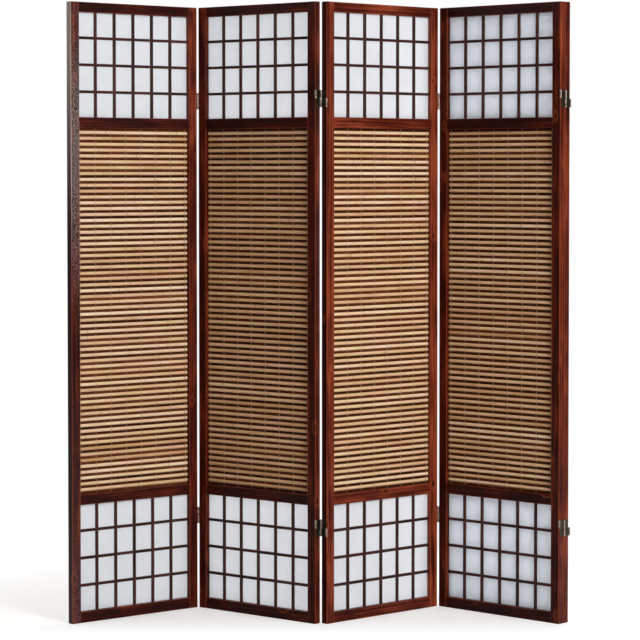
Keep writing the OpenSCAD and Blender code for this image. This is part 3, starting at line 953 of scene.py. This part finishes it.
def turned(profile, y):
    """A solid turned about an upright axis at x 0 and y, from (height, radius, wear) rows, upwards."""
    z, radius, wear = np.asarray(profile, float).T
    turn = np.arange(BARREL_SIDES) * 2 * np.pi / BARREL_SIDES
    points = np.empty((1, len(z), BARREL_SIDES, 3))
    points[0, ..., 0] = radius[:, None] * np.cos(turn)
    points[0, ..., 1] = y + radius[:, None] * np.sin(turn)
    points[0, ..., 2] = z[:, None]
    return bars(points, worn=wear[:, None])


def turned_over(surface, about_x=False, about_z=False, shift=(0, 0, 0)):
    """The same faces turned half round about the x axis, the z axis or both, and moved."""
    signs = np.array([1.0, 1.0, 1.0])
    if about_x:
        signs *= [1, -1, -1]
    if about_z:
        signs *= [-1, -1, 1]
    return {**surface, "points": surface["points"] * signs + np.asarray(shift)}


print("a turned piece has", BARREL_SIDES, "sides")

# %% The pieces of one hinge
fold_axis = to_panel(first, np.array([joints["fold_1_2"]["pos_m"]]))[0]
HALF_GAP = fold_axis[0] - panel_w
AXIS_Y = stile[1] / 2 - fold_axis[1]
BARREL_R = box_in("hinge_leaves")[1][0] - fold_axis[0]
hinge_heights = stretches("hinge_leaves", 2).mean(1)
HALF_HINGE = np.diff(stretches("hinge_leaves", 2)[0])[0] / 2
LEAF_T = 0.0012
LINK_T = 0.0012
RELIEF = 0.0032
KNUCKLE_GAP = 0.0003
KNUCKLE_H = (HALF_HINGE - 3 * KNUCKLE_GAP) / 3
PLATE_END = AXIS_Y - BARREL_R - KNUCKLE_GAP
PIN_R = 0.0011
PIN_HEAD_R = 0.0022
PIN_HEAD_H = 0.0006
WORN = 1.0


def barrel_span(i):
    """Where barrel i of a half hinge starts and ends, counted from the middle of the hinge."""
    low = KNUCKLE_GAP + i * (KNUCKLE_H + KNUCKLE_GAP)
    return low, low + KNUCKLE_H


def knuckle(i, y):
    """Barrel i of a half hinge, with chamfered ends."""
    low, high = barrel_span(i)
    return turned([
        (low, BARREL_R - RIM, 0.3), (low + RIM, BARREL_R, 0.8), (low + 2 * RIM, BARREL_R, WORN),
        (high - 2 * RIM, BARREL_R, WORN), (high - RIM, BARREL_R, 0.8), (high, BARREL_R - RIM, 0.3)], y)


def half_leaf():
    """The upper half of a left leaf: its plate, two straps to the barrels and the barrels."""
    outside, inside = -HALF_GAP, LEAF_T - HALF_GAP
    parts = [plate(rectangle(-PLATE_END, 0, stile[1] / 2 - RELIEF, HALF_HINGE), outside, inside)]
    for i in (0, 2):
        low, high = barrel_span(i)
        parts.append(plate(rectangle(-AXIS_Y, low, RIM - PLATE_END, high), outside, inside))
        parts.append(plate(rectangle(-AXIS_Y, low, -AXIS_Y + BARREL_R * 0.8, high), outside, -PIN_R))
        parts.append(knuckle(i, -AXIS_Y))
    return joined(parts)


def upper_link():
    """The strap in the middle of the gap, with one barrel at each end."""
    low, high = barrel_span(1)
    end = AXIS_Y - BARREL_R / 2
    outline = [(-PLATE_END, KNUCKLE_GAP), (PLATE_END, KNUCKLE_GAP), (PLATE_END, low), (end, low),
               (end, high), (PLATE_END, high), (PLATE_END, HALF_HINGE), (-PLATE_END, HALF_HINGE),
               (-PLATE_END, high), (-end, high), (-end, low), (-PLATE_END, low)]
    return joined([plate(outline, -LINK_T / 2, LINK_T / 2), knuckle(1, -AXIS_Y), knuckle(1, AXIS_Y)])


def pin_cap():
    """A pin with its domed head, from the middle of the hinge to the outer end of the last barrel."""
    top = HALF_HINGE
    pin = [(KNUCKLE_GAP, PIN_R * 0.8, 0.5), (KNUCKLE_GAP + RIM, PIN_R, 0.6), (top, PIN_R, 0.6)]
    head = [(top, PIN_HEAD_R, 0.7), (top + PIN_HEAD_H * 0.5, PIN_HEAD_R, 0.9),
            (top + PIN_HEAD_H * 0.85, PIN_HEAD_R * 0.75, WORN), (top + PIN_HEAD_H, PIN_HEAD_R * 0.3, WORN)]
    return joined([turned(pin, -AXIS_Y), turned(head, -AXIS_Y)])


print("gap", round(2 * HALF_GAP, 4), "and axes", round(2 * AXIS_Y, 4), "apart")
print("barrels", round(2 * BARREL_R, 4), "thick and", round(KNUCKLE_H, 4), "high")

# %% [markdown]
# A screw's head lies flush in the leaf. It is a low dome with a slot, made as one grid: the radius
# runs along one side of the grid and the turn round the axis along the other. Where a point of the
# grid falls within the slot, it is set down to the slot's floor.

# %% Screws
SCREW_PITCH = 0.017
SCREW_HEAD_R = 0.0026
SHANK_R = 0.00125
SHANK_ENDS = (-0.0105, -0.0012)
HEAD_SHARES = np.array([1.0, 0.8, 0.45, 0.16])
HEAD_HEIGHTS = (-0.0001, 0.00004, 0.00012, 0.00016)
SLOT_HALF = 0.0004
SLOT_DEPTH = 0.0007


def slotted_screw():
    """A countersunk screw along x, with the rim of its head near x 0.

    Two rings make its shank and four its head, from the rim to a small flat in the middle."""
    turn = np.arange(BARREL_SIDES) * 2 * np.pi / BARREL_SIDES
    radius = np.r_[SHANK_R, SHANK_R, SCREW_HEAD_R * HEAD_SHARES]
    height = np.r_[SHANK_ENDS, HEAD_HEIGHTS]
    y = radius[:, None] * np.cos(turn)
    z = radius[:, None] * np.sin(turn)
    x = np.broadcast_to(height[:, None], y.shape).copy()
    in_slot = (np.abs(y) < SLOT_HALF) & (height >= HEAD_HEIGHTS[0])[:, None]
    x[in_slot] -= SLOT_DEPTH
    return bars(np.stack([x, y, z], -1)[None], worn=np.where(in_slot, 0.0, 0.5)[None])


print("a screw has", len(slotted_screw()["points"]), "points")

# %% Put the hinges on the panels
def at_edge(parts, right):
    """Copies of a left leaf's pieces at both hinges of an edge, turned half round on the left edge."""
    x = panel_w + HALF_GAP if right else -HALF_GAP
    return [turned_over(part, about_z=not right, shift=(x, stile[1] / 2, z))
            for z in hinge_heights for part in parts]


def make_hinges(panel, number):
    """The leaves, links, pins and screws that move with one panel.

    A joint with an odd number folds the fronts together, on the front line of the hinge. There the
    lower link stays with the panel on the left and the upper one goes with the panel on the right."""
    leaves, links, pins, screws = [], [], [], []
    leaf = [half_leaf(), turned_over(half_leaf(), about_x=True)]
    caps = [pin_cap(), turned_over(pin_cap(), about_x=True)]
    screw = [turned_over(slotted_screw(), shift=(LEAF_T - HALF_GAP, 0, place * SCREW_PITCH))
             for place in (-1, 0, 1)]
    for right, joint in ((True, number), (False, number - 1)):
        if not 0 < joint < len(panels):
            continue
        forward = joint % 2 == 1
        leaves += at_edge(leaf, right)
        links += at_edge([turned_over(upper_link(), about_x=forward == right)], right)
        pins += at_edge(caps, right)
        screws += at_edge(screw, right)
    for name, parts, finish, slot, node in (
            ("leaves", leaves, hinge_metal, "hinge_metal", "hinge_leaves"),
            ("links", links, hinge_metal, "hinge_metal", "hinge_links"),
            ("pins", pins, pin_metal, "pin_metal", "hinge_pins"),
            ("screw_heads", screws, pin_metal, "pin_metal", "screws")):
        piece(f"{panel}_{name}", panel, joined(parts), finish, slot, f"{panel}_{node}")


for number, panel in enumerate(panels, 1):
    make_hinges(panel, number)
print("hinges:", 2 * len(joints))

# %% [markdown]
# ## Floor, light and camera
#
# The screen stands on a white floor in a pale room, with the main lamp in front on the right and
# smaller ones behind. Together they stay modest, so that colours come out as they are written. The
# even light of the room is a little warm, but where the camera or a reflection looks straight at the
# backdrop, it is white.

# %% Floor
FLOOR_SIZE = 60.0
FLOOR_GLOW = 0.29
SHADOW_NEAR = 0.72
SHADOW_FAR = 1.4
SHADOW_FRONT = (-0.02, -0.36)


def floor_finish():
    """White, and towards the camera it has some light of its own, so that only shadows are grey.

    Near the screen the floor shows the lamps' light plus FLOOR_GLOW. It goes over into plain white
    from SHADOW_NEAR to SHADOW_FAR all round, so that no horizon shows, and sooner in front."""
    made, tree, shader = new_finish("white floor")
    connect(tree, shader, {
        "Base Color": (0.82, 0.82, 0.82, 1), "Roughness": 0.9, "Specular IOR Level": 0.0})
    rays = add(tree, "ShaderNodeLightPath")
    place = add(tree, "ShaderNodeTexCoord").outputs["Object"]
    distance = add(tree, "ShaderNodeVectorMath", {0: place}, operation="LENGTH").outputs["Value"]
    depth = add(tree, "ShaderNodeSeparateXYZ", {0: place}).outputs[1]
    far = math_node(
        tree, "MAXIMUM", fade(tree, distance, SHADOW_NEAR, SHADOW_FAR), fade(tree, depth, *SHADOW_FRONT))
    seen = rays.outputs["Is Camera Ray"]
    glow = add(tree, "ShaderNodeEmission", {
        "Color": (1, 1, 1, 1), "Strength": math_node(tree, "MULTIPLY", seen, FLOOR_GLOW)})
    lit = add(tree, "ShaderNodeAddShader", {0: shader.outputs[0], 1: glow.outputs[0]})
    white = add(tree, "ShaderNodeEmission", {"Color": (1, 1, 1, 1), "Strength": 1.0})
    both = add(tree, "ShaderNodeMixShader", {
        0: math_node(tree, "MULTIPLY", seen, far), 1: lit.outputs[0], 2: white.outputs[0]})
    connect(tree, tree.nodes["Material Output"], {"Surface": both.outputs[0]})
    return made


floor_mesh = bpy.data.meshes.new("floor")
side = FLOOR_SIZE / 2
floor_mesh.from_pydata(
    [(-side, -side, 0), (side, -side, 0), (side, side, 0), (-side, side, 0)], [], [(0, 1, 2, 3)])
floor_mesh.materials.append(floor_finish())
floor = bpy.data.objects.new("floor", floor_mesh)
bpy.context.scene.collection.objects.link(floor)
print("floor:", FLOOR_SIZE, "m square")

# %% Lamps
def area_light(name, place, target, size, power):
    """A square white lamp at a place, facing a target, with its power in watts."""
    data = bpy.data.lights.new(name, "AREA")
    data.size = size
    data.energy = power
    made = bpy.data.objects.new(name, data)
    made.visible_camera = False
    made.location = place
    way = Vector(target) - Vector(place)
    made.rotation_euler = way.to_track_quat("-Z", "Y").to_euler()
    bpy.context.scene.collection.objects.link(made)
    return made


lamps = [
    area_light("key", (3.2, -4.8, 3.0), (0, 0, 0.9), 2.2, 280),
    area_light("behind right", (1.5, 1.9, 1.1), (0.5, 0, 0.95), 1.2, 65),
    area_light("behind left", (-3.4, 3.4, 3.0), (-0.3, 0, 0.9), 2.0, 84),
    area_light("rim", (-4.6, 1.1, 2.4), (-0.7, -0.1, 1.2), 1.0, 25)]
print("lamps:", [(lamp.name, lamp.data.energy) for lamp in lamps])

# %% Room
ROOM_LIGHT = 0.27
ROOM_TINT = (1.0, 0.86, 0.72, 1)
MIRRORED_FRONT = 0.09


def white_room():
    """An even pale room of ROOM_LIGHT in ROOM_TINT, which the camera sees as plain white.

    A reflection sees white too where it looks to the back, and only MIRRORED_FRONT of that where it
    looks to the front of the room, behind the camera."""
    world = bpy.data.worlds.new("white room")
    world.use_nodes = True
    tree = world.node_tree
    rays = add(tree, "ShaderNodeLightPath")
    way = add(tree, "ShaderNodeSeparateXYZ", {0: add(tree, "ShaderNodeTexCoord").outputs["Generated"]})
    mirror_ray = math_node(
        tree, "MAXIMUM", rays.outputs["Is Glossy Ray"], rays.outputs["Is Transmission Ray"])
    to_back = fade(tree, way.outputs[1], 0.3, 0.95, MIRRORED_FRONT)
    mirrored = math_node(tree, "MULTIPLY", to_back, mirror_ray)
    lighting = math_node(tree, "MULTIPLY_ADD", mirror_ray, -ROOM_LIGHT, ROOM_LIGHT)
    strength = math_node(tree, "MAXIMUM", rays.outputs["Is Camera Ray"], math_node(
        tree, "ADD", mirrored, lighting))
    white = math_node(tree, "MAXIMUM", rays.outputs["Is Camera Ray"], mirror_ray)
    connect(tree, tree.nodes["Background"], {
        "Strength": strength, "Color": mixed(tree, white, ROOM_TINT, (1, 1, 1, 1))})
    return world


bpy.context.scene.world = white_room()
bpy.context.scene.view_settings.view_transform = "Standard"
print("room light:", ROOM_LIGHT)

# %% Camera
CAMERA_PLACE = (-0.0028, -7.3782, 1.30)
LOOKS_DOWN = 0.0369
LOOKS_RIGHT = 0.00096
LENS_PIXELS = 2516.5
FRAME_PIXELS = 640
SHIFT_DOWN = 0.0847
camera_data = bpy.data.cameras.new("camera")
camera_data.sensor_width = 36
camera_data.lens = LENS_PIXELS / FRAME_PIXELS * camera_data.sensor_width
camera_data.shift_y = -SHIFT_DOWN
camera = bpy.data.objects.new("camera", camera_data)
camera.location = CAMERA_PLACE
camera.rotation_euler = (math.pi / 2 - LOOKS_DOWN, 0, -LOOKS_RIGHT)
bpy.context.scene.collection.objects.link(camera)
bpy.context.scene.camera = camera
print("camera at", CAMERA_PLACE, "with a lens of", round(camera_data.lens, 1), "mm")
